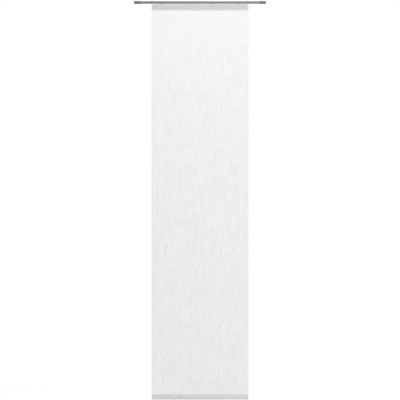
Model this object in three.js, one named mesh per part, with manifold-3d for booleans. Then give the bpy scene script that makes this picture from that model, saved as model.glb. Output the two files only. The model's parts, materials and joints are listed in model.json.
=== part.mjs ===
// A sliding panel curtain on a two-track ceiling rail, in millimetres.
// The ceiling is the plane z = 0 and everything hangs below it. x runs along the rail, and the room is at -y.
// The panel hangs in the front track: gliders carry an aluminium carrier, hook-and-loop tape holds the voile
// to the carrier, and a flat bar in the bottom hem keeps the voile straight.
import * as THREE from "three";
import { mergeVertices } from "three/addons/utils/BufferGeometryUtils.js";
import Module from "manifold-3d";

const wasm = await Module();
wasm.setup();

// Clearances
const play = 0.3; // between pieces that slide in, or sit loosely in, each other
const bond = 0.1; // between layers that are glued, sewn or pressed together
const weld = 1e-4; // points nearer to each other than this are one point

// Steps that one arc is drawn in
const sectionSteps = 4;
const planSteps = 8;
const holeSteps = 12;
const foldSteps = 5;

// Rail
const railOverhang = 100; // from the side edge of the panel to the end of the rail, with the panel centred
const railDrop = 1.7; // from the ceiling to the top of the rail
const railWall = 1.4; // upright walls and the web
const trackPitch = 22; // from the middle of one track to the middle of the next
const trackWidth = 11; // inside a track
const trackHeight = 8;
const slotWidth = 6; // the gap along the underside of each track
const slotLip = 1.6; // thickness of the lips that the gliders run on
const recessLip = 1.2; // thickness of the lips that hook onto the ceiling clips
const recessLipWidth = 2;
const railTopRadius = 0.7; // rounded top edges of the front and back faces

// Ceiling clips
const clipInset = 100; // from the end of the rail to the middle of an outer clip
const clipLength = 30;
const clipSteel = 1.2;
const clipHoleSpacing = 18;
const clipHoleRadius = 2.2;

// Rail end caps
const capLength = 40;
const capEndWall = 8.7;
const capWall = 1.7; // front, back and underside
const capTopDrop = 0.2; // from the ceiling to the top of a cap
const capRadius = 1.6;
const capPlugLength = 12; // the tongues that locate a cap in the tracks

// End stops and their clamping screws
const stopLength = 10;
const stopProud = 0.5; // below the underside of the rail
const stopScrewWall = 0.5; // left on each side of the screw where the stop reaches through the slot
const screwSlotWidth = 0.8;
const screwSlotDepth = 1.2;

// Gliders
const gliderCount = 4;
const gliderInset = 60; // from the side edge of the panel to the middle of an outer glider
const gliderHeadLength = 28;
const gliderHeadHeight = 3;
const gliderNeckLength = 8;
const gliderShoulderLength = 11;
const gliderShoulderWidth = 7;
const gliderShoulderHeight = 1.6;
const gliderFootLength = 20;

// Panel and carrier
const panelWidth = 600;
const panelDrop = 2450; // from the top fold to the bottom fold of the voile
const panelGap = 4.3; // from the underside of the rail to the top of the panel
const carrierHeight = 35.5;
const carrierPlate = 1.4;
const carrierWall = 1.2;
const carrierChannelWidth = 6.6;
const carrierChannelHeight = 3.2;
const carrierSlotWidth = 3.6;
const carrierFlange = 3; // stiffening flange along the lower edge
const tapeRecess = 0.4; // depth of the seat that the hook tape is stuck in
const carrierCapThickness = 1.5;
const carrierPlugLength = 6;

// Hook-and-loop tape
const tapeThickness = 0.9;
const tapeTopInset = 4; // from the top of the carrier to the top of the tape
const tapeBottomInset = 6.5; // from the bottom of the carrier to the bottom of the tape
const tapeEndInset = 1.4; // from the end of the carrier profile to the end of the tape

// Voile
const voileThickness = 0.5;
const returnMargin = 4; // of the layer folded back behind the top edge, below the tape sewn to it
const topFoldGap = 0.3; // between the two layers at the top
const hemTaper = 2; // height over which the hem closes above the bar
const seamAllowance = 2; // height of the closed strip that the hem is sewn through

// Weight bar
const barHeight = 28.5;
const barThickness = 2;
const barCornerRadius = 0.5;
const barCapWall = 0.5;
const barCapEnd = 2;
const barCapLength = 6;
const barCapPlay = 0.2;
const barCapCornerRadius = 1;
const barInset = 2; // from the side edge of the voile to the end of the capped bar

// Worked out from the sizes above
const railLength = panelWidth + 2 * railOverhang;
const railTop = -railDrop;
const recessFloor = railTop - recessLip - clipSteel - 2 * play;
const trackCeiling = recessFloor - railWall;
const trackFloor = trackCeiling - trackHeight;
const railBottom = trackFloor - slotLip;
const railDepth = trackPitch + trackWidth + 2 * railWall;
const panelTop = railBottom - panelGap;
const capInnerEnd = railLength / 2 + play - (capLength - capEndWall);
const stopScrewRadius = slotWidth / 2 - stopScrewWall - 2 * play;
const tapeHeight = carrierHeight - tapeTopInset - tapeBottomInset;
const topReturn = tapeTopInset + tapeHeight + returnMargin;

const finishes = {
  rail: { color: 0x7a7976, metalness: 0.9, roughness: 0.45 },
  cap: { color: 0x717170, metalness: 0, roughness: 0.45 },
  steel: { color: 0xb8babc, metalness: 1, roughness: 0.3 },
  nylon: { color: 0xe6e6e2, metalness: 0, roughness: 0.5 },
  carrier: { color: 0xb9bab8, metalness: 0.9, roughness: 0.4 },
  bar: { color: 0xefefed, metalness: 0.9, roughness: 0.45 },
  tape: { color: 0xadadaa, metalness: 0, roughness: 0.95 },
  voile: { color: 0xf3f3f0, metalness: 0, roughness: 0.9 },
};

// A named piece with its finish, placed by its position.
function piece(name, geometry, finish, position = [0, 0, 0]) {
  const mesh = new THREE.Mesh(geometry, new THREE.MeshStandardMaterial(finishes[finish]));
  mesh.name = name;
  mesh.position.set(...position);
  return mesh;
}

// A round corner takes at most this share of a side, so that a short straight length is left.
const roundestShare = 0.497;

// Turns a cross-section drawn in (y, z) so that its depth runs along x.
const sectionToRoom = new THREE.Matrix4().makeBasis(
  new THREE.Vector3(0, 1, 0),
  new THREE.Vector3(0, 0, 1),
  new THREE.Vector3(1, 0, 0),
);

// A cross-section in (y, z), run from x0 to x1.
function alongX(shape, x0, x1) {
  const options = { depth: x1 - x0, bevelEnabled: false, curveSegments: sectionSteps };
  return new THREE.ExtrudeGeometry(shape, options).applyMatrix4(sectionToRoom).translate(x0, 0, 0);
}

// A plan outline in (x, y), run from z0 up to z1.
function upward(shape, z0, z1, curveSegments = planSteps) {
  const options = { depth: z1 - z0, bevelEnabled: false, curveSegments };
  return new THREE.ExtrudeGeometry(shape, options).translate(0, 0, z0);
}

function polygon(points) {
  return new THREE.Shape(points.map(([u, v]) => new THREE.Vector2(u, v)));
}

// A rectangle between two corners, with round corners where a radius is given.
function rectangle(u0, v0, u1, v1, radius = 0) {
  if (radius <= 0) return polygon([[u0, v0], [u1, v0], [u1, v1], [u0, v1]]);
  const r = Math.min(radius, roundestShare * (u1 - u0), roundestShare * (v1 - v0));
  const shape = new THREE.Shape();
  shape.moveTo(u0 + r, v0);
  shape.lineTo(u1 - r, v0);
  shape.absarc(u1 - r, v0 + r, r, -Math.PI / 2, 0);
  shape.lineTo(u1, v1 - r);
  shape.absarc(u1 - r, v1 - r, r, 0, Math.PI / 2);
  shape.lineTo(u0 + r, v1);
  shape.absarc(u0 + r, v1 - r, r, Math.PI / 2, Math.PI);
  shape.lineTo(u0, v0 + r);
  shape.absarc(u0 + r, v0 + r, r, Math.PI, 1.5 * Math.PI);
  return shape;
}

// A rectangle centred on the origin whose short ends are half circles.
function stadium(length, width) {
  return rectangle(-length / 2, -width / 2, length / 2, width / 2, width / 2);
}

function circle(u, v, radius) {
  const shape = new THREE.Shape();
  shape.absarc(u, v, radius, 0, 2 * Math.PI);
  return shape;
}

// A strip of even thickness whose middle follows a path.
function strip(path, thickness) {
  const points = path.getPoints(foldSteps);
  const middle = points.filter((p, i) => i === 0 || p.distanceTo(points[i - 1]) > weld);
  const sides = middle.map((p, i) => {
    const before = middle[Math.max(i - 1, 0)];
    const after = middle[Math.min(i + 1, middle.length - 1)];
    const into = p.clone().sub(before).normalize();
    const out = after.clone().sub(p).normalize();
    const along = into.add(out).normalize();
    const arm = i > 0 ? p.clone().sub(before) : after.clone().sub(p);
    const stretch = thickness / 2 / Math.abs(along.dot(arm.normalize()));
    const normal = new THREE.Vector2(-along.y, along.x).multiplyScalar(stretch);
    return [p.clone().add(normal), p.clone().sub(normal)];
  });
  return new THREE.Shape([...sides.map((s) => s[0]), ...sides.map((s) => s[1]).reverse()]);
}

// Joining and cutting closed solids
function toSolid(geometry) {
  const bare = geometry.clone();
  bare.deleteAttribute("normal");
  bare.deleteAttribute("uv");
  const merged = mergeVertices(bare, weld);
  const mesh = new wasm.Mesh({
    numProp: 3,
    vertProperties: merged.attributes.position.array,
    triVerts: new Uint32Array(merged.index.array),
  });
  return new wasm.Manifold(mesh);
}

function toGeometry(solid) {
  const mesh = solid.getMesh();
  const geometry = new THREE.BufferGeometry();
  geometry.setAttribute("position", new THREE.BufferAttribute(mesh.vertProperties, 3));
  geometry.setIndex(new THREE.BufferAttribute(mesh.triVerts, 1));
  return geometry;
}

function joined(...geometries) {
  return toGeometry(geometries.map(toSolid).reduce((whole, next) => whole.add(next)));
}

function cut(geometry, ...cutters) {
  return toGeometry(cutters.map(toSolid).reduce((whole, next) => whole.subtract(next), toSolid(geometry)));
}

// The rail: a recess for the ceiling clips above the web, and two tracks below it.
function railShape() {
  const outer = railDepth / 2;
  const track = trackPitch / 2;
  const r = railTopRadius;
  const halfSection = (side) => [
    [side * (track - trackWidth / 2 - railWall), trackCeiling],
    [side * (track - trackWidth / 2 - railWall), railBottom],
    [side * (track - slotWidth / 2), railBottom],
    [side * (track - slotWidth / 2), trackFloor],
    [side * (track - trackWidth / 2), trackFloor],
    [side * (track - trackWidth / 2), trackCeiling],
    [side * (track + trackWidth / 2), trackCeiling],
    [side * (track + trackWidth / 2), trackFloor],
    [side * (track + slotWidth / 2), trackFloor],
    [side * (track + slotWidth / 2), railBottom],
    [side * outer, railBottom],
  ];
  const recess = (side) => [
    [side * (outer - railWall - recessLipWidth), railTop],
    [side * (outer - railWall - recessLipWidth), railTop - recessLip],
    [side * (outer - railWall), railTop - recessLip],
    [side * (outer - railWall), recessFloor],
  ];
  const shape = new THREE.Shape();
  const points = halfSection(1);
  shape.moveTo(...points[0]);
  points.slice(1).forEach((p) => shape.lineTo(...p));
  shape.lineTo(outer, railTop - r);
  shape.absarc(outer - r, railTop - r, r, 0, Math.PI / 2);
  recess(1).forEach((p) => shape.lineTo(...p));
  recess(-1).reverse().forEach((p) => shape.lineTo(...p));
  shape.lineTo(-outer + r, railTop);
  shape.absarc(-outer + r, railTop - r, r, Math.PI / 2, Math.PI);
  halfSection(-1).reverse().forEach((p) => shape.lineTo(...p));
  return shape;
}

// A ceiling clip: a raised plate against the ceiling, with a flange under each lip of the rail.
function clipGeometry() {
  const flangeEdge = railDepth / 2 - railWall - play;
  const leg = railDepth / 2 - railWall - recessLipWidth - play;
  const flangeTop = railTop - recessLip - play;
  const flangeBottom = flangeTop - clipSteel;
  const half = (side) => [
    [side * (leg - clipSteel), flangeBottom],
    [side * flangeEdge, flangeBottom],
    [side * flangeEdge, flangeTop],
    [side * leg, flangeTop],
    [side * leg, 0],
  ];
  const hat = polygon([
    [leg - clipSteel, -clipSteel],
    ...half(1),
    ...half(-1).reverse(),
    [clipSteel - leg, -clipSteel],
  ]);
  const body = alongX(hat, -clipLength / 2, clipLength / 2);
  const hole = (side) =>
    upward(circle((side * clipHoleSpacing) / 2, 0, clipHoleRadius), -2 * clipSteel, clipSteel, holeSteps);
  return cut(body, hole(-1), hole(1));
}

// The cap on the rail's right end: a sleeve over the rail, closed at its outer end, with a tongue in each track.
function endCapGeometry() {
  const inner = railLength / 2 + play;
  const outerEnd = inner + capEndWall;
  const half = railDepth / 2 + play + capWall;
  const bottom = railBottom - play - capWall;
  const block = alongX(rectangle(-half, bottom, half, -capTopDrop, capRadius), capInnerEnd, outerEnd);
  const plan = upward(rectangle(capInnerEnd - capLength, -half, outerEnd, half, capRadius), bottom, 0, sectionSteps);
  const body = toSolid(block).intersect(toSolid(plan));
  const pocketHalf = railDepth / 2 + play;
  const pocket = alongX(
    rectangle(-pocketHalf, railBottom - play, pocketHalf, railTop + play),
    capInnerEnd - capWall,
    inner,
  );
  const tongue = (track) => {
    const width = trackWidth / 2 - play;
    const outline = rectangle(track - width, trackFloor + play, track + width, trackCeiling - play);
    return toSolid(alongX(outline, inner - capPlugLength, inner + capWall));
  };
  const hollow = body.subtract(toSolid(pocket));
  return toGeometry(hollow.add(tongue(trackPitch / 2)).add(tongue(-trackPitch / 2)));
}

// An end stop, drawn in the middle of a track: a block that fills the track and reaches through the slot.
function endStopGeometry() {
  const width = trackWidth / 2 - play;
  const neck = slotWidth / 2 - play;
  const bottom = railBottom - stopProud;
  const tee = polygon([
    [-neck, bottom],
    [neck, bottom],
    [neck, trackFloor + play],
    [width, trackFloor + play],
    [width, trackCeiling - play],
    [-width, trackCeiling - play],
    [-width, trackFloor + play],
    [-neck, trackFloor + play],
  ]);
  const body = alongX(tee, -stopLength / 2, stopLength / 2);
  return cut(body, upward(circle(0, 0, stopScrewRadius + play), bottom - play, trackCeiling, holeSteps));
}

// The screw in an end stop: turned against the top of the track, with a driver slot at its lower end.
function stopScrewGeometry() {
  const bottom = railBottom - stopProud + play;
  const shank = upward(circle(0, 0, stopScrewRadius), bottom, trackCeiling - play, holeSteps);
  const wide = 2 * stopScrewRadius;
  const slot = rectangle(-wide, -screwSlotWidth / 2, wide, screwSlotWidth / 2);
  return cut(shank, upward(slot, bottom - play, bottom + screwSlotDepth));
}

// A glider, drawn in the middle of a track: its head runs on the rail's lips and its foot locks in the carrier.
function gliderGeometry() {
  const headBottom = trackFloor + play;
  const headTop = headBottom + gliderHeadHeight;
  const shoulderBottom = panelTop + play;
  const shoulderTop = shoulderBottom + gliderShoulderHeight;
  const footTop = panelTop - carrierWall - play;
  const footBottom = panelTop - carrierWall - carrierChannelHeight + play;
  const head = upward(stadium(gliderHeadLength, trackWidth - 2 * play), headBottom, headTop);
  const neck = upward(stadium(gliderNeckLength, slotWidth - 2 * play), shoulderBottom, headTop - play);
  const shoulder = upward(stadium(gliderShoulderLength, gliderShoulderWidth), shoulderBottom, shoulderTop);
  const lowerNeck = upward(
    stadium(gliderNeckLength, carrierSlotWidth - 2 * play),
    footBottom + play,
    shoulderTop - play,
  );
  const foot = upward(stadium(gliderFootLength, carrierChannelWidth - 2 * play), footBottom, footTop);
  return joined(head, neck, shoulder, lowerNeck, foot);
}

// Where the carrier's front plate and the layers on it lie, measured from the middle of the track.
const plateBack = -carrierChannelWidth / 2;
const plateFront = plateBack - carrierPlate;
const hookTapeBack = plateFront + tapeRecess - bond;
const loopTapeBack = hookTapeBack - tapeThickness - bond;
const returnBack = loopTapeBack - tapeThickness - bond;
const voileBack = returnBack - voileThickness - topFoldGap;
const carrierBack = carrierChannelWidth / 2 + carrierWall;
const carrierBottom = panelTop - carrierHeight;
const channelFloor = panelTop - carrierWall - carrierChannelHeight;
const tapeTop = panelTop - tapeTopInset;

// The carrier: a channel along the top for the gliders' feet, and a plate down the front for the tape.
function carrierShape() {
  const innerHalf = carrierChannelWidth / 2;
  const slot = carrierSlotWidth / 2;
  const lipBottom = panelTop - carrierWall;
  return polygon([
    [plateFront, carrierBottom],
    [plateBack + carrierFlange, carrierBottom],
    [plateBack + carrierFlange, carrierBottom + carrierWall],
    [plateBack, carrierBottom + carrierWall],
    [plateBack, channelFloor - carrierWall],
    [carrierBack, channelFloor - carrierWall],
    [carrierBack, panelTop],
    [slot, panelTop],
    [slot, lipBottom],
    [innerHalf, lipBottom],
    [innerHalf, channelFloor],
    [plateBack, channelFloor],
    [plateBack, lipBottom],
    [-slot, lipBottom],
    [-slot, panelTop],
    [plateFront, panelTop],
    [plateFront, tapeTop + play],
    [plateFront + tapeRecess, tapeTop + play],
    [plateFront + tapeRecess, tapeTop - tapeHeight - play],
    [plateFront, tapeTop - tapeHeight - play],
  ]);
}

const carrierEnd = panelWidth / 2 - carrierCapThickness - bond;

// A carrier end cap: a plate over the open end of the carrier, with a plug in its channel.
function carrierCapGeometry(side) {
  const outline = polygon([
    [plateFront, carrierBottom],
    [plateBack + carrierFlange, carrierBottom],
    [plateBack + carrierFlange, carrierBottom + carrierWall],
    [plateBack, carrierBottom + 2 * carrierWall],
    [plateBack, channelFloor - 2 * carrierWall],
    [plateBack + carrierWall, channelFloor - carrierWall],
    [carrierBack, channelFloor - carrierWall],
    [carrierBack, panelTop],
    [plateFront, panelTop],
  ]);
  const reach = carrierChannelWidth / 2 - play;
  const plug = rectangle(-reach, channelFloor + play, reach, panelTop - carrierWall - play);
  const span = (from, to) => (side > 0 ? [from, to] : [-to, -from]);
  return joined(
    alongX(outline, ...span(carrierEnd + bond, panelWidth / 2)),
    alongX(plug, ...span(carrierEnd - carrierPlugLength, carrierEnd + carrierCapThickness / 2)),
  );
}

// A flat length of tape whose back lies at the given depth.
function tapeGeometry(back) {
  const outline = rectangle(back - tapeThickness, tapeTop - tapeHeight, back, tapeTop);
  const reach = carrierEnd - tapeEndInset;
  return alongX(outline, -reach, reach);
}

// Where the weight bar and the hem around it lie.
const barCapFront = voileBack + play;
const barFront = barCapFront + barCapWall + barCapPlay;
const barCapBack = barFront + barThickness + barCapPlay + barCapWall;
const hemBack = barCapBack + play + voileThickness / 2; // middle of the layer behind the bar
const voileBottom = panelTop - panelDrop;
const barCapBottom = voileBottom + voileThickness + play;
const barBottom = barCapBottom + barCapWall + barCapPlay;
const barTop = barBottom + barHeight;
const barCapTop = barTop + barCapPlay + barCapWall;

// The voile, one piece of cloth: folded back behind its top edge, and round the weight bar at its bottom edge.
function voileShape() {
  const front = voileBack - voileThickness / 2;
  const back = returnBack - voileThickness / 2;
  const foldRadius = (back - front) / 2;
  const foldCentre = panelTop - voileThickness / 2 - foldRadius;
  const hemRadius = barCapCornerRadius + play + voileThickness / 2;
  const hemBottom = voileBottom + voileThickness / 2;
  const seam = voileBack + bond + voileThickness / 2;
  const path = new THREE.Path();
  path.moveTo(back, panelTop - topReturn);
  path.lineTo(back, foldCentre);
  path.absarc((front + back) / 2, foldCentre, foldRadius, 0, Math.PI);
  path.lineTo(front, hemBottom + hemRadius);
  path.absarc(front + hemRadius, hemBottom + hemRadius, hemRadius, Math.PI, 1.5 * Math.PI);
  path.lineTo(hemBack - hemRadius, hemBottom);
  path.absarc(hemBack - hemRadius, hemBottom + hemRadius, hemRadius, 1.5 * Math.PI, 2 * Math.PI);
  path.lineTo(hemBack, barCapTop + play);
  path.lineTo(seam, barCapTop + play + hemTaper);
  path.lineTo(seam, barCapTop + play + hemTaper + seamAllowance);
  return strip(path, voileThickness);
}

const barEnd = panelWidth / 2 - barInset - barCapEnd - bond;

function barGeometry() {
  const outline = rectangle(barFront, barBottom, barFront + barThickness, barTop, barCornerRadius);
  return alongX(outline, -barEnd, barEnd);
}

// The cap on one end of the weight bar: a sleeve with a closed outer end.
function barCapGeometry(side) {
  const outer = rectangle(barCapFront, barCapBottom, barCapBack, barCapTop, barCapCornerRadius);
  const pocket = rectangle(
    barFront - barCapPlay,
    barBottom - barCapPlay,
    barFront + barThickness + barCapPlay,
    barTop + barCapPlay,
  );
  const end = barEnd + bond + barCapEnd;
  const span = (from, to) => (side > 0 ? [from, to] : [-to, -from]);
  return cut(
    alongX(outer, ...span(end - barCapLength, end)),
    alongX(pocket, ...span(end - barCapLength - barCapEnd, barEnd + bond)),
  );
}

// The rail and what is fixed to it
const rail = new THREE.Group();
rail.add(piece("rail_profile", alongX(railShape(), -railLength / 2, railLength / 2), "rail"));
rail.add(piece("end_cap_right", endCapGeometry(), "cap"));
const leftCap = piece("end_cap_left", endCapGeometry(), "cap");
leftCap.rotation.z = Math.PI;
rail.add(leftCap);
const clipReach = railLength / 2 - clipInset;
[["left", -clipReach], ["middle", 0], ["right", clipReach]].forEach(([place, x]) => {
  rail.add(piece(`ceiling_clip_${place}`, clipGeometry(), "steel", [x, 0, 0]));
});
const stopPlace = capInnerEnd - play - stopLength / 2;
[["left", -stopPlace], ["right", stopPlace]].forEach(([side, x]) => {
  const place = [x, -trackPitch / 2, 0];
  rail.add(piece(`end_stop_${side}`, endStopGeometry(), "nylon", place));
  rail.add(piece(`end_stop_screw_${side}`, stopScrewGeometry(), "steel", place));
});

// The panel, which slides along the front track
const panel = new THREE.Group();
panel.position.y = -trackPitch / 2;
const gliderSpacing = (panelWidth - 2 * gliderInset) / (gliderCount - 1);
for (let i = 0; i < gliderCount; i++) {
  const x = (i - (gliderCount - 1) / 2) * gliderSpacing;
  panel.add(piece(`glider_${i + 1}`, gliderGeometry(), "nylon", [x, 0, 0]));
}
panel.add(piece("carrier_profile", alongX(carrierShape(), -carrierEnd, carrierEnd), "carrier"));
panel.add(piece("carrier_cap_left", carrierCapGeometry(-1), "cap"));
panel.add(piece("carrier_cap_right", carrierCapGeometry(1), "cap"));
panel.add(piece("hook_tape", tapeGeometry(hookTapeBack), "tape"));
panel.add(piece("loop_tape", tapeGeometry(loopTapeBack), "tape"));
panel.add(piece("panel_voile", alongX(voileShape(), -panelWidth / 2, panelWidth / 2), "voile"));
panel.add(piece("weight_bar", barGeometry(), "bar"));
panel.add(piece("weight_bar_cap_left", barCapGeometry(-1), "nylon"));
panel.add(piece("weight_bar_cap_right", barCapGeometry(1), "nylon"));

const curtain = new THREE.Group();
curtain.add(rail, panel);

export default curtain;
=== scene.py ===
import json
import math

import bmesh
import bpy
import numpy as np
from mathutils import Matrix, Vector, noise


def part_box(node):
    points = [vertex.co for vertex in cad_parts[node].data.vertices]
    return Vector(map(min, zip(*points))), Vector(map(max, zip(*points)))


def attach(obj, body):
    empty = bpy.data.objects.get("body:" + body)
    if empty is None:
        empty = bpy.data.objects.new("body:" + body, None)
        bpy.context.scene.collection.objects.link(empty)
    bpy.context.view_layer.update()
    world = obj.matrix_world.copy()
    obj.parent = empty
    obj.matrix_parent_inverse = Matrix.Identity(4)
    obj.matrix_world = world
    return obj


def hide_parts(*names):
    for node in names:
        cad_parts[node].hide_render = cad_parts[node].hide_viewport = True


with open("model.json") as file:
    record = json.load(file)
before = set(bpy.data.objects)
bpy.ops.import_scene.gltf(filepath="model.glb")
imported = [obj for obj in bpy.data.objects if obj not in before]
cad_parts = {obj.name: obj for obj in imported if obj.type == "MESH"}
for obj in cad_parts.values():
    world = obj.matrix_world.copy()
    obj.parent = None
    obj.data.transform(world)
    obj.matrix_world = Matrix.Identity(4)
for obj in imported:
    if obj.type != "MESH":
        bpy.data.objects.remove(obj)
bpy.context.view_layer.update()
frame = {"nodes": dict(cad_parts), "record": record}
mm = 0.001
scene = bpy.context.scene
scene.view_settings.view_transform = "Standard"

record = frame["record"]
slotOf = {part["node"]: part["material_slot"] for part in record["subparts"]}
bodyOf = {node: body for body, nodes in record["behaviour"]["bodies"].items() for node in nodes}
boxOf = {node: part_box(node) for node in frame["nodes"]}
clothLow, clothHigh = boxOf["panel_voile"]
print("frame loaded:", len(boxOf), "CAD pieces")


# Camera and studio

camera = {
    "lens": 500.0,  # mm, so long that the rail and the hem are both seen straight on
    "sensor": 36.0,  # mm
    "pictureHeight": 2.478,  # metres of the curtain's plane that the picture takes in
    "pictureTop": 0.0063,  # metres above the ceiling
    "farthest": 200.0,  # metres, the end of its view
}


def makeCamera(setup):
    data = bpy.data.cameras.new("photoCamera")
    data.lens = setup["lens"]
    data.sensor_width = setup["sensor"]
    data.clip_end = setup["farthest"]
    placed = bpy.data.objects.new("photoCamera", data)
    distance = setup["pictureHeight"] * setup["lens"] / setup["sensor"]
    placed.location = (0, clothLow.y - distance, setup["pictureTop"] - setup["pictureHeight"] / 2)
    placed.rotation_euler = (math.pi / 2, 0, 0)
    scene.collection.objects.link(placed)
    scene.camera = placed


def put(tree, kind, inputs=None, **settings):
    # adds a node with its settings; its inputs are plain values or links
    node = tree.nodes.new(kind)
    for name, value in settings.items():
        setattr(node, name, value)
    for name, value in (inputs or {}).items():
        if isinstance(value, bpy.types.NodeSocket):
            tree.links.new(value, node.inputs[name])
        else:
            node.inputs[name].default_value = value
    return node


def calc(tree, operation, a, b):
    return put(tree, "ShaderNodeMath", {0: a, 1: b}, operation=operation).outputs[0]


studio = {
    "floorGap": 15 * mm,  # under the hem
    "floorSide": 5.0,
    "floorColour": 0.94,
    "floorSeen": 0.25,  # the camera sees a duller floor with a glow, which looks white and keeps the shadow
    "floorGlow": 0.80,
    "ambient": 0.655,  # strength of the light that comes evenly from all round
    "lamps": {  # square ones: place and target in metres, side in metres, power in watts
        "high": {"place": (0.40, -1.50, 0.83), "target": (0, 0, -0.25), "side": 1.5, "power": 10.4},
        "right": {"place": (3.2, -1.0, -1.75), "target": (0, 0, -1.9), "side": 1.3, "power": 33.0},
        "low": {"place": (-1.6, -1.8, -1.95), "target": (0, 0, -2.3), "side": 0.9, "power": 1.2},
        "behind": {"place": (-0.6, 1.7, 1.05), "target": (0, 0, -0.2), "side": 2.0, "power": 24.0},
    },
}


def seenDirectly(tree):
    # 1 for rays from the camera, and for mirrored and refracted ones
    path = put(tree, "ShaderNodeLightPath")
    either = calc(tree, "MAXIMUM", path.outputs["Is Camera Ray"], path.outputs["Is Glossy Ray"])
    return calc(tree, "MAXIMUM", either, path.outputs["Is Transmission Ray"])


def makeWorld(setup):
    world = bpy.data.worlds.new("paleStudio")
    world.use_nodes = True
    tree = world.node_tree
    tree.nodes.clear()
    white = (1, 1, 1, 1)
    ambient = put(tree, "ShaderNodeBackground", {"Color": white, "Strength": setup["ambient"]})
    backdrop = put(tree, "ShaderNodeBackground", {"Color": white, "Strength": 1.0})
    inputs = {0: seenDirectly(tree), 1: ambient.outputs[0], 2: backdrop.outputs[0]}
    mixed = put(tree, "ShaderNodeMixShader", inputs)
    put(tree, "ShaderNodeOutputWorld", {"Surface": mixed.outputs[0]})
    scene.world = world


def makeFloor(setup):
    half = setup["floorSide"] / 2
    z = clothLow.z - setup["floorGap"]
    mesh = bpy.data.meshes.new("floor")
    corners = [(-half, -half, z), (half, -half, z), (half, half, z), (-half, half, z)]
    mesh.from_pydata(corners, [], [(0, 1, 2, 3)])
    material = bpy.data.materials.new("paleFloor")
    material.use_nodes = True
    tree = material.node_tree
    tree.nodes.clear()
    seen = seenDirectly(tree)
    grey = put(tree, "ShaderNodeMapRange", {"Value": seen, 3: setup["floorColour"], 4: setup["floorSeen"]})
    matt = put(tree, "ShaderNodeBsdfDiffuse", {"Color": grey.outputs[0]})
    strength = calc(tree, "MULTIPLY", seen, setup["floorGlow"])
    glow = put(tree, "ShaderNodeEmission", {"Color": (1, 1, 1, 1), "Strength": strength})
    both = put(tree, "ShaderNodeAddShader", {0: matt.outputs[0], 1: glow.outputs[0]})
    put(tree, "ShaderNodeOutputMaterial", {"Surface": both.outputs[0]})
    mesh.materials.append(material)
    floor = bpy.data.objects.new("floor", mesh)
    scene.collection.objects.link(floor)


def makeLamp(name, setup):
    data = bpy.data.lights.new(name, "AREA")
    data.shape = "SQUARE"
    data.size = setup["side"]
    data.energy = setup["power"]
    lamp = bpy.data.objects.new(name, data)
    lamp.location = setup["place"]
    aim = Vector(setup["target"]) - lamp.location
    lamp.rotation_euler = aim.to_track_quat("-Z", "Y").to_euler()
    scene.collection.objects.link(lamp)


makeCamera(camera)
makeWorld(studio)
makeFloor(studio)
for name, lamp in studio["lamps"].items():
    makeLamp(name, lamp)
print("camera, floor and lamps placed")


# Finishes

def newSurface(name):
    material = bpy.data.materials.new(name)
    material.use_nodes = True
    tree = material.node_tree
    tree.nodes.clear()
    surface = put(tree, "ShaderNodeBsdfPrincipled")
    put(tree, "ShaderNodeOutputMaterial", {"Surface": surface.outputs["BSDF"]})
    return material, tree, surface


noiseMiddle = (0.3, 0.7)  # where most values of a noise lie


def spread(tree, value, low, high, span=noiseMiddle):
    # takes a span of a noise's values to the range from low to high
    inputs = {"Value": value, 1: span[0], 2: span[1], 3: low, 4: high}
    return put(tree, "ShaderNodeMapRange", inputs).outputs[0]


def pattern(tree, coordinates, repeats, detail):
    # noise stretched differently along each axis; repeats are for a metre
    stretched = put(tree, "ShaderNodeMapping", {"Vector": coordinates, "Scale": repeats})
    inputs = {"Vector": stretched.outputs[0], "Scale": 1.0, "Detail": detail}
    return put(tree, "ShaderNodeTexNoise", inputs).outputs[0]


def shaded(tree, colour, factor):
    # a colour made lighter or darker by a factor near 1
    return put(tree, "ShaderNodeVectorMath", {0: colour, "Scale": factor}, operation="SCALE").outputs[0]


def bumped(tree, height, depth, before=None):
    inputs = {"Height": height, "Strength": 1.0, "Distance": depth}
    if before:
        inputs["Normal"] = before
    return put(tree, "ShaderNodeBump", inputs).outputs[0]


extrusion = {  # here and below, a pattern has its repeats for a metre along each axis, and its detail
    "dieLines": ((0.8, 900, 900), 3),
    "fineLines": ((12, 3200, 3200), 1),
    "cloud": ((14, 60, 60), 3),
    "lineTone": (0.96, 1.04),  # tones are factors on the colour, and dullness is one on the roughness
    "cloudTone": (0.99, 1.01),
    "dullness": (0.88, 1.15),
}


def anodised(name, finish):
    # extruded aluminium: fine die lines along the length under a slightly cloudy anodised layer
    material, tree, surface = newSurface(name)
    place = put(tree, "ShaderNodeTexCoord").outputs["Object"]
    dieLines = pattern(tree, place, *extrusion["dieLines"])
    fineLines = pattern(tree, place, *extrusion["fineLines"])
    cloud = pattern(tree, place, *extrusion["cloud"])
    lineTone = spread(tree, dieLines, *extrusion["lineTone"])
    tone = calc(tree, "MULTIPLY", lineTone, spread(tree, cloud, *extrusion["cloudTone"]))
    tree.links.new(shaded(tree, finish["colour"], tone), surface.inputs["Base Color"])
    rough = calc(tree, "MULTIPLY", spread(tree, fineLines, *extrusion["dullness"]), finish["roughness"])
    tree.links.new(rough, surface.inputs["Roughness"])
    tree.links.new(bumped(tree, dieLines, finish["lineDepth"]), surface.inputs["Normal"])
    surface.inputs["Metallic"].default_value = finish["metallic"]
    return material


moulding = {
    "grain": ((2600, 2600, 2600), 2),
    "flow": ((45, 160, 160), 3),
    "flowTone": (0.97, 1.03),
    "dullness": (0.88, 1.15),
    "lightReach": 1.5 * mm,  # how far light spreads inside the plastic, where it is a soft one
}


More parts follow.
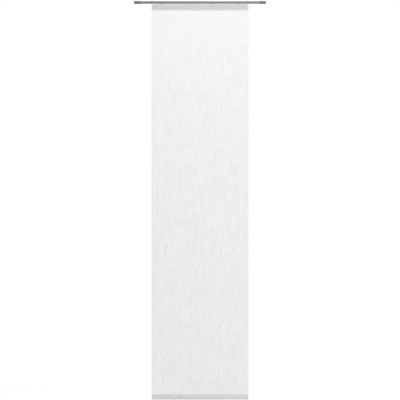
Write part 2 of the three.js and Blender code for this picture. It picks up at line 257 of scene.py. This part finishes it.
def moulded(name, finish):
    # moulded plastic: a fine spark-eroded grain and slightly uneven gloss
    material, tree, surface = newSurface(name)
    place = put(tree, "ShaderNodeTexCoord").outputs["Object"]
    grain = pattern(tree, place, *moulding["grain"])
    flow = pattern(tree, place, *moulding["flow"])
    tone = spread(tree, flow, *moulding["flowTone"])
    tree.links.new(shaded(tree, finish["colour"], tone), surface.inputs["Base Color"])
    rough = calc(tree, "MULTIPLY", spread(tree, grain, *moulding["dullness"]), finish["roughness"])
    tree.links.new(rough, surface.inputs["Roughness"])
    tree.links.new(bumped(tree, grain, finish["grainDepth"]), surface.inputs["Normal"])
    surface.inputs["Subsurface Weight"].default_value = finish["softness"]
    surface.inputs["Subsurface Scale"].default_value = moulding["lightReach"]
    return material


plating = {
    "rolled": ((60, 2200, 2200), 2),
    "spangle": (420, 420, 420),  # crystals for a metre along each axis
    "spangleTone": (0.93, 1.04),
    "rolledTone": (0.96, 1.03),
    "dullness": (0.8, 1.25),
}


def zincPlated(name, finish):
    # pressed steel strip with a thin zinc coat: rolling lines, and a faint crystalline mottle
    material, tree, surface = newSurface(name)
    place = put(tree, "ShaderNodeTexCoord").outputs["Object"]
    rolled = pattern(tree, place, *plating["rolled"])
    spangle = put(tree, "ShaderNodeMapping", {"Vector": place, "Scale": plating["spangle"]}).outputs[0]
    crystals = put(tree, "ShaderNodeTexVoronoi", {"Vector": spangle, "Scale": 1.0}).outputs["Distance"]
    spangleTone = spread(tree, crystals, *plating["spangleTone"])
    tone = calc(tree, "MULTIPLY", spangleTone, spread(tree, rolled, *plating["rolledTone"]))
    tree.links.new(shaded(tree, finish["colour"], tone), surface.inputs["Base Color"])
    rough = calc(tree, "MULTIPLY", spread(tree, crystals, *plating["dullness"]), finish["roughness"])
    tree.links.new(rough, surface.inputs["Roughness"])
    tree.links.new(bumped(tree, rolled, finish["lineDepth"]), surface.inputs["Normal"])
    surface.inputs["Metallic"].default_value = 1.0
    return material


weaving = {
    "pile": ((1500, 1500, 1500), 4),
    "pileTone": (0.86, 1.08),
    "ribWander": 1.2,
    "roughness": 0.95,
}


def wovenTape(name, finish):
    # hook-and-loop tape: a ribbed ground weave under a fuzzy pile
    material, tree, surface = newSurface(name)
    place = put(tree, "ShaderNodeTexCoord").outputs["Object"]
    inputs = {"Vector": place, "Scale": finish["ribs"], "Distortion": weaving["ribWander"]}
    bands = put(tree, "ShaderNodeTexWave", inputs, wave_type="BANDS", bands_direction="X")
    pile = pattern(tree, place, *weaving["pile"])
    height = calc(tree, "ADD", bands.outputs["Fac"], calc(tree, "MULTIPLY", pile, finish["pile"]))
    tone = spread(tree, pile, *weaving["pileTone"])
    tree.links.new(shaded(tree, finish["colour"], tone), surface.inputs["Base Color"])
    tree.links.new(bumped(tree, height, finish["depth"]), surface.inputs["Normal"])
    surface.inputs["Roughness"].default_value = weaving["roughness"]
    surface.inputs["Sheen Weight"].default_value = finish["sheen"]
    return material


def sewingThread(name, finish):
    # twisted polyester thread
    material, tree, surface = newSurface(name)
    place = put(tree, "ShaderNodeTexCoord").outputs["Object"]
    twist = pattern(tree, place, *finish["twist"])
    tone = spread(tree, twist, *finish["twistTone"])
    tree.links.new(shaded(tree, finish["colour"], tone), surface.inputs["Base Color"])
    tree.links.new(bumped(tree, twist, finish["depth"]), surface.inputs["Normal"])
    surface.inputs["Roughness"].default_value = finish["roughness"]
    surface.inputs["Sheen Weight"].default_value = finish["sheen"]
    return material


def voileCloth(name, finish):
    # crinkled see-through cloth that scatters light on through; its UV map is in metres along the cloth,
    # so the patterns follow it round its folds
    material, tree, surface = newSurface(name)
    cloth = put(tree, "ShaderNodeUVMap", uv_map="cloth").outputs[0]
    loose = put(tree, "ShaderNodeAttribute", attribute_name="loose").outputs["Fac"]
    layers = {layer: pattern(tree, cloth, *setup) for layer, setup in finish["patterns"].items()}
    densityAndCreaseShade = 0.0  # where the crinkled cloth lies closer, from about -1 to 1; it makes the cloth cover more, and it also darkens the colour there as painted crease shade
    for layer, share in finish["unevenness"].items():
        densityAndCreaseShade = calc(tree, "ADD", spread(tree, layers[layer], -share, share), densityAndCreaseShade)
    densityAndCreaseShade = calc(tree, "MULTIPLY", densityAndCreaseShade, loose)
    thick = spread(tree, layers["slubs"], 1.0, 1 - finish["slubShade"], finish["slubSpan"])
    # painted crease shade: the colour is darkened where the crinkle lies densest, standing in for the shade
    # in its creases
    shade = calc(tree, "SUBTRACT", 1.0, calc(tree, "MULTIPLY", densityAndCreaseShade, finish["paintedCreaseShade"]))
    colour = shaded(tree, finish["colour"], calc(tree, "MULTIPLY", shade, thick))
    cover = calc(tree, "ADD", calc(tree, "MULTIPLY", densityAndCreaseShade, finish["denseCover"]), 1 - finish["open"])
    fine = calc(tree, "MULTIPLY", layers["fineStreaks"], finish["fineStreakHeight"])
    creases = bumped(tree, calc(tree, "ADD", layers["streaks"], fine), finish["streakDepth"])
    relief = bumped(tree, layers["weave"], finish["weaveDepth"], creases)
    tree.links.new(colour, surface.inputs["Base Color"])
    tree.links.new(relief, surface.inputs["Normal"])
    surface.inputs["Roughness"].default_value = finish["roughness"]
    surface.inputs["Sheen Weight"].default_value = finish["sheen"]
    glow = put(tree, "ShaderNodeBsdfTranslucent", {"Color": colour, "Normal": relief})
    inputs = {0: finish["scatter"], 1: surface.outputs[0], 2: glow.outputs[0]}
    thread = put(tree, "ShaderNodeMixShader", inputs)
    gaps = put(tree, "ShaderNodeBsdfTransparent")
    whole = put(tree, "ShaderNodeMixShader", {0: cover, 1: gaps.outputs[0], 2: thread.outputs[0]})
    tree.links.new(whole.outputs[0], tree.nodes["Material Output"].inputs["Surface"])
    return material


finishes = {
    "rail": anodised("darkAnodisedRail", {
        "colour": (0.228, 0.223, 0.210), "metallic": 1.0, "roughness": 0.48, "lineDepth": 0.004 * mm}),
    "carrier": anodised("naturalAnodised", {
        "colour": (0.42, 0.42, 0.41), "metallic": 1.0, "roughness": 0.45, "lineDepth": 0.004 * mm}),
    "bar": anodised("brightMillBar", {
        "colour": (0.94, 0.94, 0.93), "metallic": 1.0, "roughness": 0.45, "lineDepth": 0.006 * mm}),
    "cap": moulded("greyCapPlastic", {
        "colour": (0.165, 0.165, 0.162), "roughness": 0.42, "grainDepth": 0.01 * mm, "softness": 0.0}),
    "nylon": moulded("whiteNylon", {
        "colour": (0.91, 0.91, 0.89), "roughness": 0.38, "grainDepth": 0.01 * mm, "softness": 0.5}),
    "steel": zincPlated("zincPlatedSteel", {
        "colour": (0.55, 0.56, 0.57), "roughness": 0.38, "lineDepth": 0.005 * mm}),
    "hook_tape": wovenTape("hookTapeWeave", {
        "colour": (0.42, 0.42, 0.41), "ribs": 260, "pile": 1.4, "depth": 0.12 * mm, "sheen": 0.1}),
    "loop_tape": wovenTape("loopTapeWeave", {
        "colour": (0.38, 0.38, 0.37), "ribs": 320, "pile": 2.2, "depth": 0.12 * mm, "sheen": 0.4}),
    "thread": sewingThread("whiteThread", {
        "colour": (0.88, 0.88, 0.865), "roughness": 0.55, "depth": 0.02 * mm, "sheen": 0.2,
        "twist": ((2400, 2400, 2400), 2), "twistTone": (0.9, 1.04)}),
    "voile": voileCloth("crinkledVoile", {
        "colour": (0.93, 0.93, 0.917),
        "roughness": 0.85,
        "sheen": 0.08,
        "open": 0.42,  # share of each side of the cloth that is gaps, so that the two together show 0.18
        "scatter": 0.24,  # share of the thread's light that goes on through it
        "patterns": {  # repeats for a metre across and along the cloth, and detail
            "streaks": ((66, 12, 1), 2),
            "patches": ((30, 9, 1), 1),
            "mottle": ((10, 5, 1), 2),
            "fineStreaks": ((420, 42, 1), 2),
            "slubs": ((1100, 9, 1), 1),
            "weave": ((1250, 1250, 1), 0),  # a thread every 0.8 mm
        },
        "unevenness": {"streaks": 0.63, "patches": 0.22, "mottle": 0.20},  # share of each pattern in it
        # painted crease shade: how far the colour darkens where the crinkle lies densest
        "paintedCreaseShade": 0.035,
        "denseCover": 0.05,
        "slubSpan": (0.64, 0.74),  # a slub is where its noise is this high
        "slubShade": 0.05,
        "streakDepth": 0.35 * mm,
        "fineStreakHeight": 0.35,  # against the streaks' own height
        "weaveDepth": 0.02 * mm,
    }),
}
print("finishes made:", len(finishes))


# Hard pieces: each CAD solid with its sharp edges broken, as on the real ones

edgeBreak = {  # radius in mm and steps round it, with the longer of two names that begin alike first
    "rail_profile": (0.15, 2),
    "end_cap": (0.35, 3),
    "ceiling_clip": (0.2, 2),
    "end_stop_screw": (0.12, 2),
    "end_stop": (0.25, 2),
    "glider": (0.3, 3),
    "carrier_profile": (0.12, 2),
    "carrier_cap": (0.2, 2),
    "hook_tape": (0.2, 2),
    "loop_tape": (0.3, 3),
    "weight_bar_cap": (0.1, 2),
    "weight_bar": (0.1, 2),
}
flatEnough = math.radians(2)  # neighbouring faces within this angle become one face
sharpAngle = math.radians(32)  # edges sharper than this are broken, and shaded as edges
weld = 0.002 * mm  # corners closer than this are one


def toPlainMesh(source, name):
    # the evaluated shape as a plain mesh; the source object goes, with its modifiers
    evaluated = source.evaluated_get(bpy.context.evaluated_depsgraph_get())
    mesh = bpy.data.meshes.new_from_object(evaluated)
    mesh.name = name
    draft = source.data
    bpy.data.objects.remove(source)
    bpy.data.meshes.remove(draft)
    piece = bpy.data.objects.new(name, mesh)
    scene.collection.objects.link(piece)
    return piece


def breakEdges(node):
    # a merged copy of the CAD solid, with its sharp edges rounded
    shape = bmesh.new()
    shape.from_mesh(frame["nodes"][node].data)
    bmesh.ops.remove_doubles(shape, verts=shape.verts, dist=weld)
    bmesh.ops.dissolve_limit(shape, angle_limit=flatEnough, verts=shape.verts, edges=shape.edges)
    draft = bpy.data.meshes.new(node + "_draft")
    shape.to_mesh(draft)
    shape.free()
    rough = bpy.data.objects.new(node + "_draft", draft)
    scene.collection.objects.link(rough)
    radius, steps = next(edgeBreak[kind] for kind in edgeBreak if node.startswith(kind))
    bevel = rough.modifiers.new("brokenEdges", "BEVEL")
    bevel.width = radius * mm
    bevel.segments = steps
    bevel.limit_method = "ANGLE"
    bevel.angle_limit = sharpAngle
    return toPlainMesh(rough, node + "_finished")


def dress(node):
    piece = breakEdges(node)
    slot = slotOf[node]
    piece.data.materials.clear()
    piece.data.materials.append(finishes[node if slot == "tape" else slot])
    piece.data.shade_smooth()
    piece.data.set_sharp_from_angle(angle=sharpAngle)
    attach(piece, bodyOf[node])
    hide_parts(node)


hardNodes = [node for node in sorted(boxOf) if node != "panel_voile"]
for node in hardNodes:
    dress(node)
print("hard pieces dressed:", len(hardNodes))


# The voile

voile = {
    "thickness": 0.5 * mm,
    "bond": 0.1 * mm,  # between layers that are sewn together
    "play": 0.3 * mm,
    "returnMargin": 4 * mm,  # of the layer folded back at the top, below the tape
    "hemRadius": 1.55 * mm,
    "hemTaper": 2 * mm,
    "seamAllowance": 2 * mm,
    "columns": 240,
    "rowStep": 15 * mm,  # down the free cloth
    "foldSteps": 5,  # round a quarter turn, and from the hem's back to its seam
    "backSteps": 6,  # down the return behind the top, and up the back of the hem
    "seamSteps": 2,
    "samePlace": 0.01 * mm,  # points closer than this are one
    "sharpFold": 60,  # degrees, past which a fold is shaded as an edge
    "crinkle": 0.25 * mm,
    "ridges": (70, 18, 3.7),  # repeats for a metre across and down the cloth, and the layer of the noise
    "fineCreases": (150, 32, 11.2),
    "broadCreases": (32, 9, 23.9),
    "ridgeSharpness": 2.4,
    "ridgeShare": 0.5,
    "fineShare": 0.45,
    "broadShare": 0.9,
    "billow": 1.3 * mm,
    "wideWaves": (2.6, 0.9, 41.3),
    "smallWaves": (9, 1.7, 7.7),
    "smallWaveShare": 0.35,
    "heldLength": 40 * mm,  # next to the carrier and the bar, where the cloth is held flat
    "easedTop": 330 * mm,  # over which the cloth frees itself below the carrier
    "easedHem": 60 * mm,  # and above the bar
    "heldEdge": 8 * mm,  # along the sewn side edges
    "heldCrinkle": 0.12,  # share of the crinkle that is left where the cloth is held
}


def smooth(value):
    value = min(max(value, 0.0), 1.0)
    return value * value * (3 - 2 * value)


def arc(centre, radius, start, end, steps):
    angles = [math.radians(start + (end - start) * i / steps) for i in range(steps + 1)]
    return [Vector((centre[0] + radius * math.cos(a), centre[1] + radius * math.sin(a))) for a in angles]


def straight(start, end, steps):
    start, end = Vector(start), Vector(end)
    return [start.lerp(end, i / steps) for i in range(steps + 1)]


def clothPath(setup):
    # the middle of the cloth in (y, z), from the end of the top return, down the front, to the hem's seam
    tape = boxOf["loop_tape"][0]
    half = setup["thickness"] / 2
    front = clothLow.y + half
    back = tape.y - setup["bond"] - half
    foldRadius = (back - front) / 2
    foldCentre = ((front + back) / 2, clothHigh.z - half - foldRadius)
    hemBack, hemBottom, radius = clothHigh.y - half, clothLow.z + half, setup["hemRadius"]
    hemTop = boxOf["weight_bar_cap_left"][1].z + setup["play"]
    seam = front + setup["thickness"] + setup["bond"]
    seamBottom = hemTop + setup["hemTaper"]
    steps = setup["foldSteps"]
    freeRows = round((foldCentre[1] - hemBottom - radius) / setup["rowStep"])
    stretches = [
        straight((back, tape.z - setup["returnMargin"]), (back, foldCentre[1]), setup["backSteps"]),
        arc(foldCentre, foldRadius, 0, 180, 2 * steps),
        straight((front, foldCentre[1]), (front, hemBottom + radius), freeRows),
        arc((front + radius, hemBottom + radius), radius, 180, 270, steps),
        arc((hemBack - radius, hemBottom + radius), radius, 270, 360, steps),
        straight((hemBack, hemBottom + radius), (hemBack, hemTop), setup["backSteps"]),
        straight((hemBack, hemTop), (seam, seamBottom), steps),
        straight((seam, seamBottom), (seam, seamBottom + setup["seamAllowance"]), setup["seamSteps"]),
    ]
    points = [stretches[0][0]]
    for stretch in stretches:
        points += [p for p in stretch if (p - points[-1]).length > setup["samePlace"]]
    return points


def ripple(repeats, x, down):
    # a noise from about -1 to 1 across and down the cloth
    return noise.noise(Vector((x * repeats[0], down * repeats[1], repeats[2])))


def crumple(x, along, setup):
    # the crinkle of the cloth, from about -1 to 1: long narrow creases that run down it and fade out
    ridge = 1 - setup["ridgeSharpness"] * abs(ripple(setup["ridges"], x, along))
    fine = ripple(setup["fineCreases"], x, along)
    broad = ripple(setup["broadCreases"], x, along)
    return setup["ridgeShare"] * ridge + setup["fineShare"] * fine + setup["broadShare"] * broad


def freedom(z, setup):
    # 0 where the cloth is held at the carrier and the bar, 1 where it hangs free
    fromTop = smooth((clothHigh.z - z - setup["heldLength"]) / setup["easedTop"])
    return fromTop * smooth((z - clothLow.z - setup["heldLength"]) / setup["easedHem"])


def billow(x, z, setup):
    # how far the free cloth hangs out of its plane
    wave = ripple(setup["wideWaves"], x, z) + setup["smallWaveShare"] * ripple(setup["smallWaves"], x, z)
    return setup["billow"] * wave * freedom(z, setup)


def clothFaces(rows, columns):
    # quads of a closed shell: an outer and an inner wall of rows by columns points,
    # and the rim between them
    inner = rows * columns
    faces = []
    for i in range(rows - 1):
        for j in range(columns - 1):
            a, b = i * columns + j, (i + 1) * columns + j
            faces.append((a, b, b + 1, a + 1))
            faces.append((inner + a, inner + a + 1, inner + b + 1, inner + b))
    rim = [i * columns for i in range(rows)]
    rim += [(rows - 1) * columns + j for j in range(1, columns)]
    rim += [i * columns + columns - 1 for i in range(rows - 2, -1, -1)]
    rim += [j for j in range(columns - 2, 0, -1)]
    for a, b in zip(rim, rim[1:] + rim[:1]):
        faces.append((b, a, inner + a, inner + b))
    return faces


def clothWalls(points, along, setup):
    # the shell's points, outer wall first, with the place on the flat cloth and the looseness of each
    front = clothLow.y + setup["thickness"] / 2
    held = setup["heldCrinkle"]
    xs = np.linspace(clothLow.x, clothHigh.x, setup["columns"] + 1)
    outer, inner, uvs, loose = [], [], [], []
    for i, point in enumerate(points):
        run = (points[min(i + 1, len(points) - 1)] - points[max(i - 1, 0)]).normalized()
        out = Vector((run.y, -run.x))
        isFront = abs(point.x - front) < setup["samePlace"]
        free = freedom(point.y, setup) if isFront else 0.0
        for x in xs:
            edge = min(x - clothLow.x, clothHigh.x - x)
            share = held + (1 - held) * free * smooth(edge / setup["heldEdge"])
            rise = setup["crinkle"] * share * crumple(x, along[i], setup)
            sway = billow(x, point.y, setup) if isFront else 0.0
            for wall, side in ((outer, 1), (inner, -1)):
                shift = rise + side * setup["thickness"] / 2
                wall.append((x, point.x + out.x * shift + sway, point.y + out.y * shift))
            uvs.append((x - clothLow.x, along[i]))
            loose.append(share)
    return outer + inner, uvs + uvs, loose + loose


def makeVoile(setup):
    points = clothPath(setup)
    steps = [(b - a).length for a, b in zip(points, points[1:])]
    along = np.concatenate([[0], np.cumsum(steps)])
    walls, uvs, loose = clothWalls(points, along, setup)
    mesh = bpy.data.meshes.new("voile_panel")
    mesh.from_pydata(walls, [], clothFaces(len(points), setup["columns"] + 1))
    cloth = mesh.uv_layers.new(name="cloth")
    corners = np.zeros(len(mesh.loops), np.int32)
    mesh.loops.foreach_get("vertex_index", corners)
    cloth.data.foreach_set("uv", np.array(uvs, np.float32)[corners].ravel())
    looseness = mesh.attributes.new("loose", "FLOAT", "POINT")
    looseness.data.foreach_set("value", np.array(loose, np.float32))
    mesh.materials.append(finishes["voile"])
    mesh.shade_smooth()
    mesh.set_sharp_from_angle(angle=math.radians(setup["sharpFold"]))
    piece = bpy.data.objects.new("voile_panel", mesh)
    scene.collection.objects.link(piece)
    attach(piece, "panel")
    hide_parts("panel_voile")
    print("voile:", round(along[-1], 3), "m of cloth,", len(mesh.polygons), "faces")
    return piece, points, float(along[-1])


voilePanel, clothPoints, clothLength = makeVoile(voile)


# Sewing

def newTree(name, sockets):
    # a Geometry Nodes tree with named inputs: the tree, its input node and each input's identifier
    tree = bpy.data.node_groups.new(name, "GeometryNodeTree")
    tree.is_modifier = True
    tree.interface.new_socket("Geometry", in_out="INPUT", socket_type="NodeSocketGeometry")
    keys = {}
    for label, kind in sockets.items():
        socket = tree.interface.new_socket(label, in_out="INPUT", socket_type="NodeSocket" + kind)
        keys[label] = socket.identifier
    tree.interface.new_socket("Geometry", in_out="OUTPUT", socket_type="NodeSocketGeometry")
    return tree, put(tree, "NodeGroupInput"), keys


def useTree(guide, name, tree, keys, values):
    modifier = guide.modifiers.new(name, "NODES")
    modifier.node_group = tree
    for label, value in values.items():
        modifier[keys[label]] = value


def vector(tree, x=0.0, y=0.0, z=0.0):
    return put(tree, "ShaderNodeCombineXYZ", {"X": x, "Y": y, "Z": z}).outputs[0]


def threadAlong(tree, curve, radius, sides):
    # a closed thread along a curve
    ring = put(tree, "GeometryNodeCurvePrimitiveCircle", {"Resolution": sides, "Radius": radius}).outputs[0]
    inputs = {"Curve": curve, "Profile Curve": ring, "Fill Caps": True}
    return put(tree, "GeometryNodeCurveToMesh", inputs).outputs[0]


def sewnCopies(tree, points, stitch, tilt, seed, turn=None):
    # one stitch at each point, each a little out of line, made real
    low = put(tree, "ShaderNodeVectorMath", {0: tilt, "Scale": -1.0}, operation="SCALE").outputs[0]
    inputs = {0: low, 1: tilt, "Seed": seed}
    wander = put(tree, "FunctionNodeRandomValue", inputs, data_type="FLOAT_VECTOR").outputs[0]
    if turn:
        wander = put(tree, "ShaderNodeVectorMath", {0: wander, 1: turn}, operation="ADD").outputs[0]
    inputs = {"Points": points, "Instance": stitch, "Rotation": wander}
    copies = put(tree, "GeometryNodeInstanceOnPoints", inputs)
    return put(tree, "GeometryNodeRealizeInstances", {"Geometry": copies.outputs[0]}).outputs[0]


def finishTree(tree, geometry, material):
    painted = put(tree, "GeometryNodeSetMaterial", {"Geometry": geometry, "Material": material})
    put(tree, "NodeGroupOutput", {0: painted.outputs[0]})


seams = {
    "stitch": 2.7 * mm,
    "pitch": 3.3 * mm,
    "thread": 0.13 * mm,  # radius
    "threadSides": 6,
    "arch": 0.12 * mm,
    "archSteps": 4,
    "tilt": (0.02, 0.03, 0.05),  # radians, the most that a stitch is out of line
    "endInset": 6 * mm,
    "fromTapeEdge": 2 * mm,
}


def seamTree(setup):
    # adds one straight row of stitches along x to what is there
    tree, given, keys = newTree("seamRow", {
        "Row Start": "Vector", "Stitches": "Int", "Pitch": "Float", "Stitch Length": "Float",
        "Thread Radius": "Float", "Arch": "Float", "Tilt": "Vector", "Seed": "Int", "Material": "Material",
    })
    step = vector(tree, x=given.outputs["Pitch"])
    row = put(tree, "GeometryNodeMeshLine", {
        "Count": given.outputs["Stitches"], "Start Location": given.outputs["Row Start"], "Offset": step})
    half = calc(tree, "MULTIPLY", given.outputs["Stitch Length"], 0.5)
    # the curve rises half as far as its middle point
    crest = calc(tree, "MULTIPLY", given.outputs["Arch"], -2.0)
    bow = put(tree, "GeometryNodeCurveQuadraticBezier", {
        "Resolution": setup["archSteps"],
        "Start": vector(tree, x=calc(tree, "MULTIPLY", half, -1.0)),
        "Middle": vector(tree, y=crest),
        "End": vector(tree, x=half),
    })
    stitch = threadAlong(tree, bow.outputs[0], given.outputs["Thread Radius"], setup["threadSides"])
    sewn = sewnCopies(tree, row.outputs[0], stitch, given.outputs["Tilt"], given.outputs["Seed"])
    both = put(tree, "GeometryNodeJoinGeometry")
    tree.links.new(sewn, both.inputs[0])
    tree.links.new(given.outputs["Geometry"], both.inputs[0])
    finishTree(tree, both.outputs[0], given.outputs["Material"])
    return tree, keys


def sewSeams(setup):
    tapeLow, tapeHigh = boxOf["loop_tape"]
    seamMiddle = clothPoints[-1].y - voile["seamAllowance"] / 2
    seamBack = clothPoints[-1].x + voile["thickness"] / 2
    rows = [  # depth, height, and the side that the stitches arch to
        (clothLow.y, tapeHigh.z - setup["fromTapeEdge"], 1),
        (clothLow.y, tapeLow.z + setup["fromTapeEdge"], 1),
        (clothLow.y, seamMiddle, 1),
        (seamBack, seamMiddle, -1),
    ]
    stitches = int((clothHigh.x - clothLow.x - 2 * setup["endInset"]) / setup["pitch"])
    tree, keys = seamTree(setup)
    guide = bpy.data.objects.new("seamGuide", bpy.data.meshes.new("seamGuide"))
    scene.collection.objects.link(guide)
    for number, (y, z, side) in enumerate(rows):
        useTree(guide, f"row{number}", tree, keys, {
            "Row Start": (clothLow.x + setup["endInset"], y, z),
            "Stitches": stitches,
            "Pitch": setup["pitch"],
            "Stitch Length": setup["stitch"],
            "Thread Radius": setup["thread"],
            "Arch": side * setup["arch"],
            "Tilt": setup["tilt"],
            "Seed": number,
            "Material": finishes["thread"],
        })
    piece = toPlainMesh(guide, "seam_stitches")
    piece.data.shade_smooth()
    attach(piece, "panel")
    print("seam stitches:", stitches * len(rows), "faces:", len(piece.data.polygons))
    return piece


overlock = {
    "pitch": 3.0 * mm,
    "bite": 3.6 * mm,  # from the cloth's edge to the needle line
    "thread": 0.09 * mm,  # radius
    "threadSides": 4,
    "standOff": 0.12 * mm,  # how far the loops stand off the edge
    "slant": 1.3 * mm,
    "tilt": (0.02, 0.02, 0.03),
    "seed": 5,
    "endInset": 4 * mm,
}


def overlockTree(setup):
    # a loop of thread round the cloth's edge at each guide point, turned by the points' own attribute
    tree, given, keys = newTree("overlockEdge", {
        "Bite": "Float", "Cloth": "Float", "Stand Off": "Float", "Slant": "Float",
        "Thread Radius": "Float", "Tilt": "Vector", "Seed": "Int", "Material": "Material",
    })
    halfCloth = calc(tree, "MULTIPLY", given.outputs["Cloth"], 0.5)
    back = calc(tree, "ADD", halfCloth, given.outputs["Thread Radius"])
    front = calc(tree, "MULTIPLY", back, -1.0)
    rise = calc(tree, "MULTIPLY", given.outputs["Slant"], 0.5)
    drop = calc(tree, "MULTIPLY", rise, -1.0)
    needle = calc(tree, "MULTIPLY", given.outputs["Bite"], -1.0)
    corners = [
        vector(tree, needle, front, drop),
        vector(tree, 0.0, front, rise),
        vector(tree, given.outputs["Stand Off"], 0.0, rise),
        vector(tree, 0.0, back, rise),
        vector(tree, needle, back, drop),
    ]
    loop = put(tree, "GeometryNodeJoinGeometry")
    for start, end in zip(corners, corners[1:]):
        line = put(tree, "GeometryNodeCurvePrimitiveLine", {"Start": start, "End": end}).outputs[0]
        strand = threadAlong(tree, line, given.outputs["Thread Radius"], setup["threadSides"])
        tree.links.new(strand, loop.inputs[0])
    turn = put(tree, "GeometryNodeInputNamedAttribute", {"Name": "turn"}, data_type="FLOAT_VECTOR")
    sewn = sewnCopies(tree, given.outputs["Geometry"], loop.outputs[0], given.outputs["Tilt"],
                      given.outputs["Seed"], turn.outputs[0])
    finishTree(tree, sewn, given.outputs["Material"])
    return tree, keys


def sewEdges(setup):
    middle = clothLow.y + voile["thickness"] / 2
    loops = int((clothHigh.z - clothLow.z - 2 * setup["endInset"]) / setup["pitch"])
    places, turns = [], []
    for x, turn in ((clothHigh.x, 0.0), (clothLow.x, math.pi)):
        for i in range(loops):
            z = clothHigh.z - setup["endInset"] - i * setup["pitch"]
            places.append((x, middle + billow(x, z, voile), z))
            turns.append((0.0, 0.0, turn))
    mesh = bpy.data.meshes.new("edgeGuide")
    mesh.from_pydata(places, [], [])
    attribute = mesh.attributes.new("turn", "FLOAT_VECTOR", "POINT")
    attribute.data.foreach_set("vector", np.array(turns, np.float32).ravel())
    guide = bpy.data.objects.new("edgeGuide", mesh)
    scene.collection.objects.link(guide)
    tree, keys = overlockTree(setup)
    useTree(guide, "overlock", tree, keys, {
        "Bite": setup["bite"],
        "Cloth": voile["thickness"],
        "Stand Off": setup["standOff"],
        "Slant": setup["slant"],
        "Thread Radius": setup["thread"],
        "Tilt": setup["tilt"],
        "Seed": setup["seed"],
        "Material": finishes["thread"],
    })
    piece = toPlainMesh(guide, "edge_overlock")
    piece.data.shade_smooth()
    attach(piece, "panel")
    print("overlock loops:", len(places), "faces:", len(piece.data.polygons))
    return piece


seamStitches = sewSeams(seams)
edgeOverlock = sewEdges(overlock)
